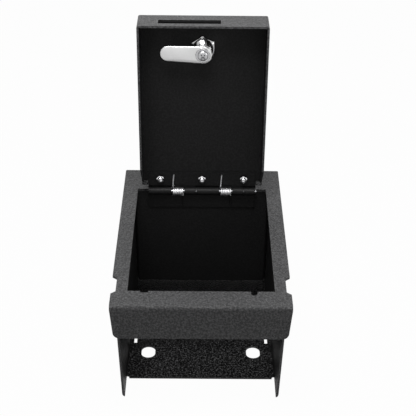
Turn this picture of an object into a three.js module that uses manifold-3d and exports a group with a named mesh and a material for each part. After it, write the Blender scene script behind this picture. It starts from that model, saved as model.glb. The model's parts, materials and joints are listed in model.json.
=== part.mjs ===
// A console safe: a sheet-steel vault that drops into the storage bin of a vehicle's centre console.
// A bent top frame carries a folded shell, a back wall and a pan-shaped lid on a sprung hinge.
// The lid stands open, as at rest, and its cam lock points sideways, unlocked.
// Millimetres, +X right, +Y back, +Z up. The origin is the middle of the floor plate's underside.

import * as THREE from "three";
import { mergeVertices } from "three/addons/utils/BufferGeometryUtils.js";
import Module from "manifold-3d";

const wasm = await Module();
wasm.setup();

// Clearances
const SEAT = 0.2; // between two pieces that are welded or clamped face to face
const RUNNING = 0.1; // radial, between a turning piece and its bore
const SLIP = 0.25; // radial, between a fastener and its hole

// Top frame: a flat rim round the mouth, bent down in front as an apron
const MOUTH_WIDTH = 130;
const MOUTH_LENGTH = 189.4;
const RIM_SIDE = 14.5;
const RIM_FRONT = 24.9;
const RIM_BACK = 41;
const FRAME_SHEET = 2.4;
const FRAME_BEND = 1.2; // inside radius
const RIM_CORNER = 1.6;
const APRON_HEIGHT = 33.6;
const APRON_TAPER = 2.9; // how much narrower the apron is at each side of its lower edge
const APRON_CORNER = 6;
const EAR_NOTCH_DEPTH = 4.2; // the notch in each long edge of the rim
const EAR_NOTCH_FRONT = -4.5; // its ends at the edge, from the mouth's front edge
const EAR_NOTCH_BACK = 24.8;
const EAR_NOTCH_SLOPE = 3.6; // how far each slanted end runs along the edge
const EAR_NOTCH_ROUND = 1;
const LIP_NOTCH_X = -50.1; // the shallow notch in the mouth's front edge
const LIP_NOTCH_WIDTH = 7;
const LIP_NOTCH_DEPTH = 2.5;
const LIP_ARC_X = 46.7; // the half-round notch in the mouth's front edge
const LIP_ARC_WIDTH = 5.7;
const LIP_ARC_DEPTH = 6;

// Shell: floor and both side walls, folded from one sheet
const BOX_SHEET = 2;
const BOX_DEPTH = 112; // from the rim's top face to the floor's underside
const SHELL_HALF_WIDTH = 74.2; // outside, at the top of the front
const SHELL_BEND = 2.5; // inside radius
const WALL_DRAFT = 0.0215; // inwards for each millimetre of depth
const WALL_TAPER = 0.0107; // inwards for each millimetre towards the back
const WALL_FOOT_FRONT = -7; // the side wall's front edge at the floor's level
const WALL_FOOT_CORNER = 2;
const FLOOR_FRONT = 21; // the floor's front edge
const RELIEF_WIDTH = 2.4; // of the relief cut at the end of each fold
const RELIEF_LENGTH = 2.5;
const FLOOR_HOLE_X = 50.6;
const FLOOR_HOLE_Y = 61.2;
const FLOOR_HOLE_WIDTH = 13.3;
const FLOOR_HOLE_LENGTH = 19.6;
const FLOOR_SLOT_X = 63.8;
const FLOOR_SLOT_WIDTH = 2.9;
const FLOOR_SLOT_FRONT = 75.5;
const FLOOR_SLOT_LENGTH = 75.5;

// Back wall: a plate with a weld flange turned back at each side
const WELD_FLANGE = 12;
const BACK_BEND = 1.5; // inside radius

// Hinge
const KNUCKLE_RADIUS = 4;
const PIN_RADIUS = 1.5;
const PIN_TIP = 1.6; // how far the pin stands out of the last knuckle
const LEAF_SHEET = 1.5;
const LEAF_HEIGHT = 19.8; // from the pin's axis
const LEAF_CORNER = 1.2;
const KNUCKLE_GAP = 0.35; // between neighbours along the pin
const LEAF_GAP = 0.7; // from a leaf's edge to the other leaf's knuckles
const SPRING_WINDOW = 6.4; // how far from the pin's axis a leaf is cut away for a spring
// The row along the pin, from left to right
const HINGE_ROW = [
  ["body", 23],
  ["spring", 12.8],
  ["lid", 12.2],
  ["body", 23.4],
  ["spring", 12.8],
  ["lid", 12],
  ["body", 11.3],
];

// Torsion springs
const WIRE = 1.5;
const COIL_RADIUS = 3.35; // to the middle of the wire
const COIL_TURNS = 5;
const LEG_REACH = 16.6; // from the pin's axis to the end of a leg
const LEG_TURN = Math.PI / 9; // how far past the coil's back the leg leaves it
const COIL_STEPS = 8; // for each turn
const WIRE_SIDES = 5;

// Lid: a pan with a front flange and two side flanges
const LID_SHEET = 2;
const LID_HALF_WIDTH = 61.85; // at the front
const LID_TAPER = 0.0077; // inwards for each millimetre towards the hinge
const LID_FRONT_GAP = 1.6; // to the mouth's front edge, when closed
const LID_REAR = 1.2; // from the pin's axis to the panel's rear edge
const REAR_CORNER_CUT = 6.4; // how far the panel's rear corners are cut back, beside the hinge
const LID_CORNER = 2.4; // seen from above, at the front corners
const LID_FLANGE = 34.3; // full depth, from the outer face
const LID_BEND = 2.4; // outside radius
const FLANGE_CUT_LONG = 35.7; // the slanted cut: from the pin's axis along the flange's free edge
const FLANGE_CUT_SHORT = 7.5; // and at the panel
const REAR_LIP_DEPTH = 6.4;
const OPEN_ANGLE = THREE.MathUtils.degToRad(92);

// Hinge fasteners on the lid
const FASTENER_PITCH = 42;
const FASTENER_OFFSET = 12.9; // from the pin's axis
const BOLT_RADIUS = 2;
const BOLT_HEAD_RADIUS = 4.2;
const BOLT_HEAD_HEIGHT = 2.2;
const BOLT_END = 1.6; // how far the bolt stands out of its nut
const NUT_FLATS = 7;
const NUT_HEIGHT = 3.2;
const NUT_FACE_SHARE = 0.97; // the round open face of a nut, as a share of its flats
const SCREW_CHAMFER = 0.5;
const HEAD_RIM_SHARE = 0.25; // the upright rim of a domed head, as a share of its height

// Cam lock
const LOCK_OFFSET = 151.2; // from the pin's axis
const LOCK_RADIUS = 9.4; // of the threaded body
const LOCK_FLATS = 16.2; // across the body's two flats
const LOCK_HEAD_RADIUS = 11.2;
const LOCK_HEAD_HEIGHT = 2.6;
const LOCK_HEAD_BEVEL = 1.3;
const LOCK_NUT_FLATS = 22;
const LOCK_NUT_HEIGHT = 3.8;
const CAM_DEPTH = 21.1; // from the lid's outer face to the middle of the cam
const CAM_SHEET = 2.4;
const CAM_REACH = 40.5;
const CAM_TIP_RADIUS = 7.3;
const CAM_HUB_RADIUS = 8.4;
const CAM_GAP = 0.4; // between the cam and the lock's body
const CAM_REST_TILT = THREE.MathUtils.degToRad(2); // past square, towards the lid's front
const PLUG_RADIUS = 6.4;
const PLUG_SQUARE = 7.6;
const KEYWAY_LENGTH = 8.4;
const KEYWAY_WIDTH = 2;
const KEYWAY_DEPTH = 12;
const WASHER_RADIUS = 7;
const WASHER_SHEET = 1;
const CAM_SCREW_RADIUS = 2;
const CAM_SCREW_LENGTH = 7;
const CAM_SCREW_ROOM = 1; // between the screw's end and the bottom of its hole
const CAM_SCREW_HEAD_RADIUS = 4.9;
const CAM_SCREW_HEAD_HEIGHT = 3;
const CROSS_LENGTH = 5.2;
const CROSS_WIDTH = 1.3;
const CROSS_DEPTH = 1.5;
const CROSS_TURN = 45; // degrees
const CAM_SLOT_LEFT = -42.2; // the slot in the lid's front flange that the cam comes out through
const CAM_SLOT_RIGHT = 16.6;
const CAM_SLOT_HEIGHT = 10.4;

// Strike: an angle under the rim's front, which the cam turns in below
const STRIKE_HALF_WIDTH = 30;
const STRIKE_SHEET = 2;
const STRIKE_FOOT = 14; // how far it runs forward under the rim
const STRIKE_SET_BACK = 1; // in front of the mouth's edge
const STRIKE_GAP = 0.8; // above the cam

// Fineness of the round forms
const ROUND_STEPS = 40;
const SMALL_ROUND_STEPS = 24;
const BEND_STEPS = 5;
const DOME_STEPS = 4;
const HEX_SIDES = 6;

// Sizes that follow from the ones above
const RIM_HALF_WIDTH = MOUTH_WIDTH / 2 + RIM_SIDE;
const APRON_BACK = -RIM_FRONT + FRAME_SHEET;
const PIN_Y = MOUTH_LENGTH - KNUCKLE_RADIUS - SEAT;
const LID_REACH = PIN_Y - LID_FRONT_GAP;
const LID_INSIDE = KNUCKLE_RADIUS + SEAT; // the panel's inner face, above the pin's axis when closed
const LID_TOP = LID_INSIDE + LID_SHEET;
const LID_BOTTOM = LID_TOP - LID_FLANGE;
const LEAF_FACE = KNUCKLE_RADIUS - LEAF_SHEET; // the leaf's inner face, from the pin's axis
const CAM_MIDDLE = LID_TOP - CAM_DEPTH;
const CAM_TOP = CAM_MIDDLE + CAM_SHEET / 2;
const CAM_BOTTOM = CAM_MIDDLE - CAM_SHEET / 2;
const BACK_WALL_REAR = MOUTH_LENGTH + BOX_SHEET;
const SHELL_BACK = BACK_WALL_REAR + WELD_FLANGE;
const HINGE_HALF_WIDTH = HINGE_ROW.reduce((sum, [, width]) => sum + width, 0) / 2;
const FLOOR_MIDDLE = (FLOOR_FRONT + SHELL_BACK) / 2;
const BEYOND = 5; // how far a cutter runs past what it cuts
const JOINED = 1; // how far two solids that are joined run into each other
const SAME_POINT = 1e-5; // vertices nearer than this are one
const GAP_SAMPLES = 8; // points that a coil's gap is measured on, for each of its steps

// Solids and meshes
function solidOf(geometry) {
  const bare = geometry.index ? geometry.toNonIndexed() : geometry.clone();
  bare.deleteAttribute("normal");
  bare.deleteAttribute("uv");
  const merged = mergeVertices(bare, SAME_POINT);
  return new wasm.Manifold(
    new wasm.Mesh({
      numProp: 3,
      vertProperties: merged.attributes.position.array,
      triVerts: new Uint32Array(merged.index.array),
    }),
  );
}

function geometryOf(solid) {
  const mesh = solid.getMesh();
  const geometry = new THREE.BufferGeometry();
  geometry.setAttribute("position", new THREE.BufferAttribute(mesh.vertProperties, 3));
  geometry.setIndex(new THREE.BufferAttribute(mesh.triVerts, 1));
  geometry.computeVertexNormals();
  return geometry;
}

// A prism along an axis. Its outline is drawn in (y, z) along x, in (x, z) along y, in (x, y) along z.
const ALONG = {
  x: [new THREE.Vector3(0, 1, 0), new THREE.Vector3(0, 0, 1), new THREE.Vector3(1, 0, 0)],
  y: [new THREE.Vector3(1, 0, 0), new THREE.Vector3(0, 0, 1), new THREE.Vector3(0, -1, 0)],
  z: [new THREE.Vector3(1, 0, 0), new THREE.Vector3(0, 1, 0), new THREE.Vector3(0, 0, 1)],
};

function prism(outline, axis, from, to, curveSegments = SMALL_ROUND_STEPS / 2) {
  const geometry = new THREE.ExtrudeGeometry(outline, {
    depth: to - from,
    bevelEnabled: false,
    curveSegments,
  });
  geometry.applyMatrix4(new THREE.Matrix4().makeBasis(...ALONG[axis]));
  const start = axis === "y" ? to : from;
  geometry.translate(
    axis === "x" ? start : 0,
    axis === "y" ? start : 0,
    axis === "z" ? start : 0,
  );
  return solidOf(geometry);
}

function box(x0, y0, z0, x1, y1, z1) {
  return prism(rectangle(x0, y0, x1, y1), "z", z0, z1);
}

// A round solid along z from its half profile, listed as [radius, z] from the lower end up.
function turned(profile, steps = ROUND_STEPS) {
  const points = profile.map(([radius, z]) => new THREE.Vector2(radius, z));
  const geometry = new THREE.LatheGeometry(points, steps);
  geometry.rotateX(Math.PI / 2);
  return solidOf(geometry);
}

function cylinder(radius, from, to, steps = ROUND_STEPS) {
  return turned([[0, from], [radius, from], [radius, to], [0, to]], steps);
}

// A solid built along z, laid along x.
function alongX(solid) {
  return solid.rotate([0, 90, 0]);
}

// Outlines
function rectangle(x0, y0, x1, y1) {
  return polygon([[x0, y0], [x1, y0], [x1, y1], [x0, y1]]);
}

function polygon(corners) {
  return new THREE.Shape(corners.map(([x, y]) => new THREE.Vector2(x, y)));
}

// The points of a path whose inner corners are rounded, all with one radius or each with its own.
function roundedPath(corners, radius) {
  const points = corners.map(([x, y]) => new THREE.Vector2(x, y));
  const path = [points[0]];
  for (let i = 1; i < points.length - 1; i++) {
    const r = Array.isArray(radius) ? radius[i] : radius;
    if (r === 0) {
      path.push(points[i]);
      continue;
    }
    const back = points[i - 1].clone().sub(points[i]).normalize();
    const ahead = points[i + 1].clone().sub(points[i]).normalize();
    const half = Math.acos(back.dot(ahead)) / 2;
    const middle = back.clone().add(ahead).normalize();
    const centre = points[i].clone().addScaledVector(middle, r / Math.sin(half));
    const start = points[i].clone().addScaledVector(back, r / Math.tan(half));
    const sweep = Math.sign(ahead.cross(back)) * (Math.PI - 2 * half);
    for (let step = 0; step <= BEND_STEPS; step++) {
      path.push(start.clone().rotateAround(centre, (sweep * step) / BEND_STEPS));
    }
  }
  path.push(points[points.length - 1]);
  return path;
}

// A closed outline with its corners rounded. A radius of 0 keeps a corner sharp.
function roundedOutline(corners, radii) {
  const last = corners.length - 1;
  const closed = [corners[last], ...corners, corners[0]];
  return new THREE.Shape(roundedPath(closed, [0, ...radii, 0]).slice(1, -1));
}

// The section of a bent sheet. The corners are those of its outer face and all turn to the left.
function bentSheet(corners, sheet, insideRadius) {
  const points = corners.map(([x, y]) => new THREE.Vector2(x, y));
  const inner = points.map((point, i) => {
    const last = points.length - 1;
    const ahead = points[Math.min(i + 1, last)].clone().sub(points[Math.min(i, last - 1)]).normalize();
    const behind = points[Math.max(i, 1)].clone().sub(points[Math.max(i - 1, 0)]).normalize();
    const left = new THREE.Vector2(-ahead.y - behind.y, ahead.x + behind.x).normalize();
    const reach = sheet / (left.x * -ahead.y + left.y * ahead.x);
    return point.clone().addScaledVector(left, reach).toArray();
  });
  const outerPath = roundedPath(corners, insideRadius + sheet);
  const innerPath = roundedPath(inner, insideRadius);
  return new THREE.Shape([...outerPath, ...innerPath.reverse()]);
}

function slotOutline(x, y, width, length) {
  const radius = width / 2;
  const reach = length / 2 - radius;
  const shape = new THREE.Shape();
  shape.absarc(x, y + reach, radius, 0, Math.PI, false);
  shape.absarc(x, y - reach, radius, Math.PI, 2 * Math.PI, false);
  return shape;
}

function hexagon(acrossFlats, pointing) {
  const corners = [];
  for (let side = 0; side < HEX_SIDES; side++) {
    const angle = pointing + (side * 2 * Math.PI) / HEX_SIDES;
    const radius = acrossFlats / 2 / Math.cos(Math.PI / HEX_SIDES);
    corners.push([radius * Math.cos(angle), radius * Math.sin(angle)]);
  }
  return polygon(corners);
}

// The side walls lean in towards the floor and the back: what is drawn square is drawn in by this.
function leaned(solid) {
  return solid.warp((vertex) => {
    const inwards = WALL_DRAFT * -vertex[2] + WALL_TAPER * (vertex[1] - APRON_BACK);
    vertex[0] *= 1 - inwards / SHELL_HALF_WIDTH;
  });
}

const mirrored = (solid) => solid.mirror([1, 0, 0]);

// Top frame
function topFrame() {
  const rearEdge = MOUTH_LENGTH + RIM_BACK;
  const section = bentSheet(
    [[rearEdge + BEYOND, 0], [-RIM_FRONT, 0], [-RIM_FRONT, -APRON_HEIGHT - BEYOND]],
    FRAME_SHEET,
    FRAME_BEND,
  );
  const sheet = prism(section, "x", -RIM_HALF_WIDTH - BEYOND, RIM_HALF_WIDTH + BEYOND);

  // Seen from above: the rim with its rear corners and the notch in each long edge
  const plan = roundedOutline(
    [
      [-RIM_HALF_WIDTH, -RIM_FRONT - BEYOND],
      [RIM_HALF_WIDTH, -RIM_FRONT - BEYOND],
      [RIM_HALF_WIDTH, rearEdge],
      [-RIM_HALF_WIDTH, rearEdge],
    ],
    [0, 0, RIM_CORNER, RIM_CORNER],
  );
  const notchBottom = RIM_HALF_WIDTH - EAR_NOTCH_DEPTH;
  const flare = (BEYOND * EAR_NOTCH_SLOPE) / EAR_NOTCH_DEPTH;
  const earNotch = prism(
    roundedOutline(
      [
        [RIM_HALF_WIDTH + BEYOND, EAR_NOTCH_FRONT - flare],
        [RIM_HALF_WIDTH + BEYOND, EAR_NOTCH_BACK + flare],
        [notchBottom, EAR_NOTCH_BACK - EAR_NOTCH_SLOPE],
        [notchBottom, EAR_NOTCH_FRONT + EAR_NOTCH_SLOPE],
      ],
      [0, 0, EAR_NOTCH_ROUND, EAR_NOTCH_ROUND],
    ),
    "z",
    -FRAME_SHEET - BEYOND,
    BEYOND,
  );

  // Seen from the front: below the bend the apron narrows, and its lower corners are round
  const bendDepth = FRAME_SHEET + FRAME_BEND;
  const lowerHalf = RIM_HALF_WIDTH - APRON_TAPER;
  const upperHalf = RIM_HALF_WIDTH + (APRON_TAPER * (BEYOND + bendDepth)) / (APRON_HEIGHT - bendDepth);
  const front = roundedOutline(
    [
      [-upperHalf, BEYOND],
      [-lowerHalf, -APRON_HEIGHT],
      [lowerHalf, -APRON_HEIGHT],
      [upperHalf, BEYOND],
    ],
    [0, APRON_CORNER, APRON_CORNER, 0],
  );

  const halfMouth = MOUTH_WIDTH / 2;
  const mouth = box(-halfMouth, 0, -FRAME_SHEET - BEYOND, halfMouth, MOUTH_LENGTH, BEYOND);
  const lipNotch = box(
    LIP_NOTCH_X - LIP_NOTCH_WIDTH / 2,
    -LIP_NOTCH_DEPTH,
    -FRAME_SHEET - BEYOND,
    LIP_NOTCH_X + LIP_NOTCH_WIDTH / 2,
    BEYOND,
    BEYOND,
  );
  const lipArc = prism(
    slotOutline(LIP_ARC_X, 0, LIP_ARC_WIDTH, 2 * LIP_ARC_DEPTH),
    "z",
    -FRAME_SHEET - BEYOND,
    BEYOND,
  );
  return sheet
    .intersect(prism(plan, "z", -APRON_HEIGHT - 2 * BEYOND, BEYOND))
    .intersect(prism(front, "y", -RIM_FRONT - BEYOND, rearEdge + 2 * BEYOND))
    .subtract(earNotch)
    .subtract(mirrored(earNotch))
    .subtract(mouth)
    .subtract(lipNotch)
    .subtract(lipArc);
}

// Shell
function bodyShell() {
  const top = -FRAME_SHEET - SEAT;
  const section = bentSheet(
    [
      [-SHELL_HALF_WIDTH, top],
      [-SHELL_HALF_WIDTH, -BOX_DEPTH],
      [SHELL_HALF_WIDTH, -BOX_DEPTH],
      [SHELL_HALF_WIDTH, top],
    ],
    BOX_SHEET,
    SHELL_BEND,
  );
  const wallFront = APRON_BACK + SEAT;
  const folded = leaned(prism(section, "y", wallFront, SHELL_BACK));

  // Seen from the side: clear of the rim's bend, upright behind the apron, then sloping back to the floor
  const side = roundedOutline(
    [
      [wallFront + FRAME_BEND, BEYOND],
      [wallFront + FRAME_BEND, top],
      [wallFront, top - FRAME_BEND],
      [wallFront, -APRON_HEIGHT],
      [WALL_FOOT_FRONT, -BOX_DEPTH],
      [SHELL_BACK + BEYOND, -BOX_DEPTH],
      [SHELL_BACK + BEYOND, BEYOND],
    ],
    [0, 0, 0, 0, WALL_FOOT_CORNER, 0, 0],
  );
  const trimmed = folded.intersect(prism(side, "x", -2 * SHELL_HALF_WIDTH, 2 * SHELL_HALF_WIDTH));

  // The floor stops short of the walls' front edges, with a relief cut at the end of each fold
  const leanAtFloor = WALL_DRAFT * BOX_DEPTH + WALL_TAPER * (FLOOR_FRONT - APRON_BACK);
  const foldInside = SHELL_HALF_WIDTH - BOX_SHEET - leanAtFloor;
  const floorTop = -BOX_DEPTH + BOX_SHEET;
  const frontCut = box(
    -foldInside,
    wallFront - BEYOND,
    -BOX_DEPTH - BEYOND,
    foldInside,
    FLOOR_FRONT,
    floorTop + SHELL_BEND,
  );
  const reliefCut = prism(
    slotOutline(
      foldInside - RELIEF_WIDTH / 2,
      FLOOR_FRONT,
      RELIEF_WIDTH,
      2 * RELIEF_LENGTH,
    ),
    "z",
    -BOX_DEPTH - BEYOND,
    floorTop + SHELL_BEND,
  );
  const hole = prism(
    slotOutline(FLOOR_HOLE_X, FLOOR_HOLE_Y, FLOOR_HOLE_WIDTH, FLOOR_HOLE_LENGTH),
    "z",
    -BOX_DEPTH - BEYOND,
    floorTop + BEYOND,
  );
  const slot = box(
    FLOOR_SLOT_X - FLOOR_SLOT_WIDTH / 2,
    FLOOR_SLOT_FRONT,
    -BOX_DEPTH - BEYOND,
    FLOOR_SLOT_X + FLOOR_SLOT_WIDTH / 2,
    FLOOR_SLOT_FRONT + FLOOR_SLOT_LENGTH,
    floorTop + SHELL_BEND,
  );
  return [reliefCut, hole, slot].reduce(
    (solid, cut) => solid.subtract(cut).subtract(mirrored(cut)),
    trimmed.subtract(frontCut),
  );
}

// Back wall
function backWall() {
  const half = SHELL_HALF_WIDTH - BOX_SHEET - SEAT;
  const section = bentSheet(
    [
      [half, SHELL_BACK],
      [half, MOUTH_LENGTH],
      [-half, MOUTH_LENGTH],
      [-half, SHELL_BACK],
    ].map(([x, y]) => [-x, y]),
    BOX_SHEET,
    BACK_BEND,
  );
  const bottom = -BOX_DEPTH + BOX_SHEET + SEAT;
  const plate = prism(section, "z", bottom, -FRAME_SHEET - SEAT);

  // The lower corners are cut off on a slant, to clear the shell's folds
  const cornerCut = prism(
    polygon([
      [half - SHELL_BEND - BEYOND, bottom - BEYOND],
      [half + BEYOND, bottom - BEYOND],
      [half + BEYOND, bottom + SHELL_BEND + BEYOND],
    ]),
    "y",
    MOUTH_LENGTH - BEYOND,
    SHELL_BACK + BEYOND,
  );
  return leaned(plate.subtract(cornerCut).subtract(mirrored(cornerCut)));
}

// Strike, seen from the side as an angle: a foot under the rim and a leg in front of the mouth's edge
function lockStrike() {
  const underRim = -FRAME_SHEET - SEAT;
  const bottom = CAM_TOP + STRIKE_GAP;
  const section = bentSheet(
    [
      [-STRIKE_SET_BACK, bottom],
      [-STRIKE_SET_BACK, underRim],
      [-STRIKE_SET_BACK - STRIKE_FOOT, underRim],
    ],
    STRIKE_SHEET,
    FRAME_BEND,
  );
  return prism(section, "x", -STRIKE_HALF_WIDTH, STRIKE_HALF_WIDTH);
}

// Hinge. A leaf is drawn upright above the pin's axis, its back at +y; the body's leaf is turned down.
function hingeRow() {
  let x = -HINGE_HALF_WIDTH;
  return HINGE_ROW.map(([owner, width]) => {
    const place = { owner, from: x, to: x + width };
    x += width;
    return place;
  });
}

function hingeLeaf(owner, holes) {
  const half = HINGE_HALF_WIDTH;
  const outline = roundedOutline(
    [[-half, 0], [half, 0], [half, LEAF_HEIGHT], [-half, LEAF_HEIGHT]],
    [0, 0, LEAF_CORNER, LEAF_CORNER],
  );
  let leaf = prism(outline, "y", LEAF_FACE, KNUCKLE_RADIUS);
  for (const { owner: holder, from, to } of hingeRow()) {
    const reach = holder === "spring" ? SPRING_WINDOW : KNUCKLE_RADIUS + LEAF_GAP;
    if (holder !== owner) {
      leaf = leaf.subtract(
        box(from - KNUCKLE_GAP, -KNUCKLE_RADIUS, -BEYOND, to + KNUCKLE_GAP, KNUCKLE_RADIUS + BEYOND, reach),
      );
    }
  }
  for (const { owner: holder, from, to } of hingeRow()) {
    if (holder === owner) {
      const gapFrom = from === -half ? 0 : KNUCKLE_GAP / 2;
      const gapTo = to === half ? 0 : KNUCKLE_GAP / 2;
      leaf = leaf.add(alongX(cylinder(KNUCKLE_RADIUS, from + gapFrom, to - gapTo)));
    }
  }
  leaf = leaf.subtract(alongX(cylinder(PIN_RADIUS + RUNNING, -half - BEYOND, half + BEYOND)));
  for (const x of holes) {
    leaf = leaf.subtract(
      cylinder(BOLT_RADIUS + SLIP, 0, KNUCKLE_RADIUS + BEYOND, SMALL_ROUND_STEPS)
        .rotate([-90, 0, 0])
        .translate([x, 0, FASTENER_OFFSET]),
    );
  }
  return leaf;
}

function hingePin() {
  const shaft = cylinder(PIN_RADIUS, -HINGE_HALF_WIDTH, HINGE_HALF_WIDTH + PIN_TIP / 2);
  const tip = turned([
    [0, HINGE_HALF_WIDTH],
    [PIN_RADIUS, HINGE_HALF_WIDTH],
    [PIN_RADIUS, HINGE_HALF_WIDTH + PIN_TIP / 2],
    [PIN_RADIUS / 2, HINGE_HALF_WIDTH + PIN_TIP],
    [0, HINGE_HALF_WIDTH + PIN_TIP],
  ]);
  return alongX(shaft.add(tip));
}

// A torsion spring's wire: up the body's leaf, round the pin, and up the open lid's leaf
class SpringWire extends THREE.Curve {
  constructor(from, to) {
    super();
    const pitch = (to - from - WIRE - 2 * KNUCKLE_GAP) / COIL_TURNS;
    const right = to - KNUCKLE_GAP - WIRE / 2;
    const legY = LEAF_FACE - WIRE / 2 - SEAT;
    const lean = OPEN_ANGLE - Math.PI / 2;
    const turn = 2 * Math.PI * COIL_TURNS;
    const atAngle = (angle, x) =>
      new THREE.Vector3(x, COIL_RADIUS * Math.cos(angle), COIL_RADIUS * Math.sin(angle));
    const left = right - pitch * COIL_TURNS;
    this.points = [
      new THREE.Vector3(right, legY, -LEG_REACH),
      new THREE.Vector3(right, legY, -SPRING_WINDOW),
    ];
    const steps = COIL_STEPS * COIL_TURNS;
    for (let step = 0; step <= steps; step++) {
      const share = step / steps;
      const angle = -LEG_TURN + share * (turn + 2 * LEG_TURN);
      this.points.push(atAngle(angle, right - share * pitch * COIL_TURNS));
    }
    const up = (reach) =>
      new THREE.Vector3(
        left,
        legY * Math.cos(lean) + reach * Math.sin(lean),
        reach * Math.cos(lean) - legY * Math.sin(lean),
      );
    this.points.push(up(SPRING_WINDOW), up(LEG_REACH));
    this.lengths = [0];
    for (let i = 1; i < this.points.length; i++) {
      this.lengths.push(this.lengths[i - 1] + this.points[i].distanceTo(this.points[i - 1]));
    }
  }

  getPoint(t, target = new THREE.Vector3()) {
    const along = t * this.lengths[this.lengths.length - 1];
    let i = 1;
    while (i < this.points.length - 1 && this.lengths[i] < along) i++;
    const share = (along - this.lengths[i - 1]) / (this.lengths[i] - this.lengths[i - 1]);
    return target.lerpVectors(this.points[i - 1], this.points[i], share);
  }
}

// The least gap of a wire to itself, measured between points that lie over a turn's half apart.
function leastGap(wire) {
  const points = wire.getSpacedPoints(COIL_STEPS * COIL_TURNS * GAP_SAMPLES);
  const step = wire.getLength() / (points.length - 1);
  const apart = Math.ceil((Math.PI * COIL_RADIUS) / step);
  let least = Infinity;
  for (let i = 0; i < points.length; i++) {
    for (let j = i + apart; j < points.length; j++) {
      least = Math.min(least, points[i].distanceTo(points[j]));
    }
  }
  return least - WIRE;
}

function torsionSpring({ from, to }) {
  const wire = new SpringWire(from, to);
  const corners = [];
  for (let side = 0; side < WIRE_SIDES; side++) {
    const angle = (side * 2 * Math.PI) / WIRE_SIDES;
    corners.push([(WIRE / 2) * Math.cos(angle), (WIRE / 2) * Math.sin(angle)]);
  }
  console.log(`spring wire ${wire.getLength().toFixed(1)} mm, least gap ${leastGap(wire).toFixed(2)} mm`);
  const coilLength = 2 * Math.PI * COIL_RADIUS;
  return new THREE.ExtrudeGeometry(polygon(corners), {
    steps: Math.round((wire.getLength() / coilLength) * COIL_STEPS),
    extrudePath: wire,
  });
}

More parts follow.
